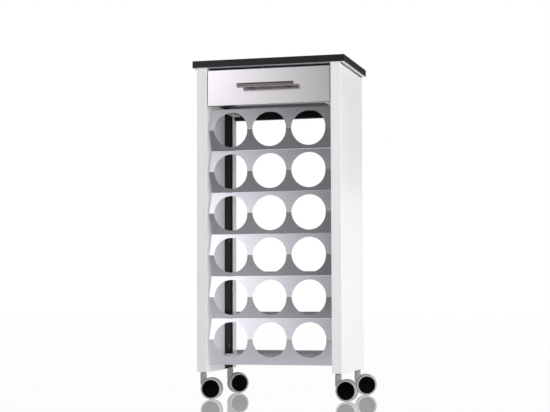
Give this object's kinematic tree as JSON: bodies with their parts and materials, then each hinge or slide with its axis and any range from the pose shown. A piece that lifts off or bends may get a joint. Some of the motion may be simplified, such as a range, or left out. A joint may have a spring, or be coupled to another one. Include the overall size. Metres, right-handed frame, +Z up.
{
  "type": "rolling wine rack",
  "caption": "Narrow wine rack trolley: worktop on side panels, a drawer with a bar handle, folded rails with round bottle holes, neck supports behind, and swivel twin-wheel casters.",
  "frame": {"origin": "on the floor, below the middle of the worktop", "axes": "+Z up, -Y out of the drawer front, +X to the right as seen from the front"},
  "size_m": [0.427, 0.315, 0.866],
  "materials": {
    "worktop_laminate": "chipboard with anthracite laminate, satin",
    "panel_lacquer": "board with white lacquer, semi-gloss",
    "rail_steel": "sheet steel with satin silver coat",
    "support_steel": "sheet steel with satin silver coat",
    "upright_steel": "black powder coat",
    "rear_laminate": "chipboard with black laminate",
    "front_steel": "board core faced with satin stainless sheet",
    "drawer_laminate": "board with dark laminate",
    "runner_epoxy": "white epoxy coat",
    "roller_nylon": "moulded nylon",
    "handle_chrome": "dark chrome plating",
    "fastener_zinc": "zinc plated",
    "dowel_beech": "turned beech",
    "pin_steel": "drawn steel",
    "hood_plastic": "moulded silver-grey plastic",
    "disc_plastic": "moulded black plastic, polished",
    "tyre_plastic": "moulded soft grey plastic"
  },
  "bodies": {
    "base": {"worktop": "worktop_laminate", "side_panel_left": "panel_lacquer", "side_panel_right": "panel_lacquer", "bottle_rail_1": "rail_steel", "bottle_rail_2": "rail_steel", "bottle_rail_3": "rail_steel", "bottle_rail_4": "rail_steel", "bottle_rail_5": "rail_steel", "bottle_rail_6": "rail_steel", "front_rail": "rear_laminate", "rear_panel": "rear_laminate", "rear_upright_left": "upright_steel", "rear_upright_right": "upright_steel", "neck_support_1": "support_steel", "neck_support_2": "support_steel", "neck_support_3": "support_steel", "neck_support_4": "support_steel", "neck_support_5": "support_steel", "neck_support_6": "support_steel", "cabinet_runner_left": "runner_epoxy", "cabinet_runner_right": "runner_epoxy", "cabinet_dowels": "dowel_beech", "panel_screws": "fastener_zinc", "caster_pins": "pin_steel"},
    "drawer": {"drawer_front": "front_steel", "drawer_side_left": "drawer_laminate", "drawer_side_right": "drawer_laminate", "drawer_bottom": "drawer_laminate", "drawer_back": "drawer_laminate", "drawer_runner_left": "runner_epoxy", "drawer_runner_right": "runner_epoxy", "handle_bar": "handle_chrome", "handle_posts": "handle_chrome", "drawer_screws": "fastener_zinc"},
    "cabinet_rollers": {"cabinet_rollers": "roller_nylon"},
    "drawer_rollers": {"drawer_rollers": "roller_nylon"},
    "caster_front_left": {"caster_hood_front_left": "hood_plastic", "caster_axle_front_left": "pin_steel"},
    "wheel_front_left_a": {"wheel_disc_front_left_a": "disc_plastic", "wheel_tyre_front_left_a": "tyre_plastic"},
    "wheel_front_left_b": {"wheel_disc_front_left_b": "disc_plastic", "wheel_tyre_front_left_b": "tyre_plastic"},
    "caster_front_right": {"caster_hood_front_right": "hood_plastic", "caster_axle_front_right": "pin_steel"},
    "wheel_front_right_a": {"wheel_disc_front_right_a": "disc_plastic", "wheel_tyre_front_right_a": "tyre_plastic"},
    "wheel_front_right_b": {"wheel_disc_front_right_b": "disc_plastic", "wheel_tyre_front_right_b": "tyre_plastic"},
    "caster_rear_left": {"caster_hood_rear_left": "hood_plastic", "caster_axle_rear_left": "pin_steel"},
    "wheel_rear_left_a": {"wheel_disc_rear_left_a": "disc_plastic", "wheel_tyre_rear_left_a": "tyre_plastic"},
    "wheel_rear_left_b": {"wheel_disc_rear_left_b": "disc_plastic", "wheel_tyre_rear_left_b": "tyre_plastic"},
    "caster_rear_right": {"caster_hood_rear_right": "hood_plastic", "caster_axle_rear_right": "pin_steel"},
    "wheel_rear_right_a": {"wheel_disc_rear_right_a": "disc_plastic", "wheel_tyre_rear_right_a": "tyre_plastic"},
    "wheel_rear_right_b": {"wheel_disc_rear_right_b": "disc_plastic", "wheel_tyre_rear_right_b": "tyre_plastic"}
  },
  "joints": [
    {"name": "drawer_slide", "type": "slide", "parent": "base", "child": "drawer", "axis": [0, -1, 0], "range_m": [0, 0.13]},
    {"name": "cabinet_roller_spin", "type": "hinge", "parent": "base", "child": "cabinet_rollers", "pos_m": [0, -0.0964, 0.7625], "axis": [1, 0, 0], "range_deg": [0, 850]},
    {"name": "drawer_roller_spin", "type": "hinge", "parent": "drawer", "child": "drawer_rollers", "pos_m": [0, 0.0975, 0.7597], "axis": [1, 0, 0], "range_deg": [0, 850]},
    {"name": "swivel_front_left", "type": "hinge", "parent": "base", "child": "caster_front_left", "pos_m": [-0.1761, -0.1133, 0.0667], "axis": [0, 0, 1], "continuous": true},
    {"name": "roll_front_left_a", "type": "hinge", "parent": "caster_front_left", "child": "wheel_front_left_a", "pos_m": [-0.15414, -0.11199, 0.027], "axis": [0.0593, -0.9982, 0], "continuous": true},
    {"name": "roll_front_left_b", "type": "hinge", "parent": "caster_front_left", "child": "wheel_front_left_b", "pos_m": [-0.15414, -0.11199, 0.027], "axis": [0.0593, -0.9982, 0], "continuous": true},
    {"name": "swivel_front_right", "type": "hinge", "parent": "base", "child": "caster_front_right", "pos_m": [0.1761, -0.1133, 0.0667], "axis": [0, 0, 1], "continuous": true},
    {"name": "roll_front_right_a", "type": "hinge", "parent": "caster_front_right", "child": "wheel_front_right_a", "pos_m": [0.19808, -0.11418, 0.027], "axis": [-0.0401, -0.9992, 0], "continuous": true},
    {"name": "roll_front_right_b", "type": "hinge", "parent": "caster_front_right", "child": "wheel_front_right_b", "pos_m": [0.19808, -0.11418, 0.027], "axis": [-0.0401, -0.9992, 0], "continuous": true},
    {"name": "swivel_rear_left", "type": "hinge", "parent": "base", "child": "caster_rear_left", "pos_m": [-0.1761, 0.1154, 0.0667], "axis": [0, 0, 1], "continuous": true},
    {"name": "roll_rear_left_a", "type": "hinge", "parent": "caster_rear_left", "child": "wheel_rear_left_a", "pos_m": [-0.15844, 0.12852, 0.027], "axis": [0.5962, -0.8028, 0], "continuous": true},
    {"name": "roll_rear_left_b", "type": "hinge", "parent": "caster_rear_left", "child": "wheel_rear_left_b", "pos_m": [-0.15844, 0.12852, 0.027], "axis": [0.5962, -0.8028, 0], "continuous": true},
    {"name": "swivel_rear_right", "type": "hinge", "parent": "base", "child": "caster_rear_right", "pos_m": [0.1761, 0.1154, 0.0667], "axis": [0, 0, 1], "continuous": true},
    {"name": "roll_rear_right_a", "type": "hinge", "parent": "caster_rear_right", "child": "wheel_rear_right_a", "pos_m": [0.19632, 0.12407, 0.027], "axis": [0.3939, -0.9191, 0], "continuous": true},
    {"name": "roll_rear_right_b", "type": "hinge", "parent": "caster_rear_right", "child": "wheel_rear_right_b", "pos_m": [0.19632, 0.12407, 0.027], "axis": [0.3939, -0.9191, 0], "continuous": true}
  ],
  "couplings": [
    {"joint": "cabinet_roller_spin", "follows": "drawer_slide", "rad_per_m": 113.64},
    {"joint": "drawer_roller_spin", "follows": "drawer_slide", "rad_per_m": 113.64}
  ]
}
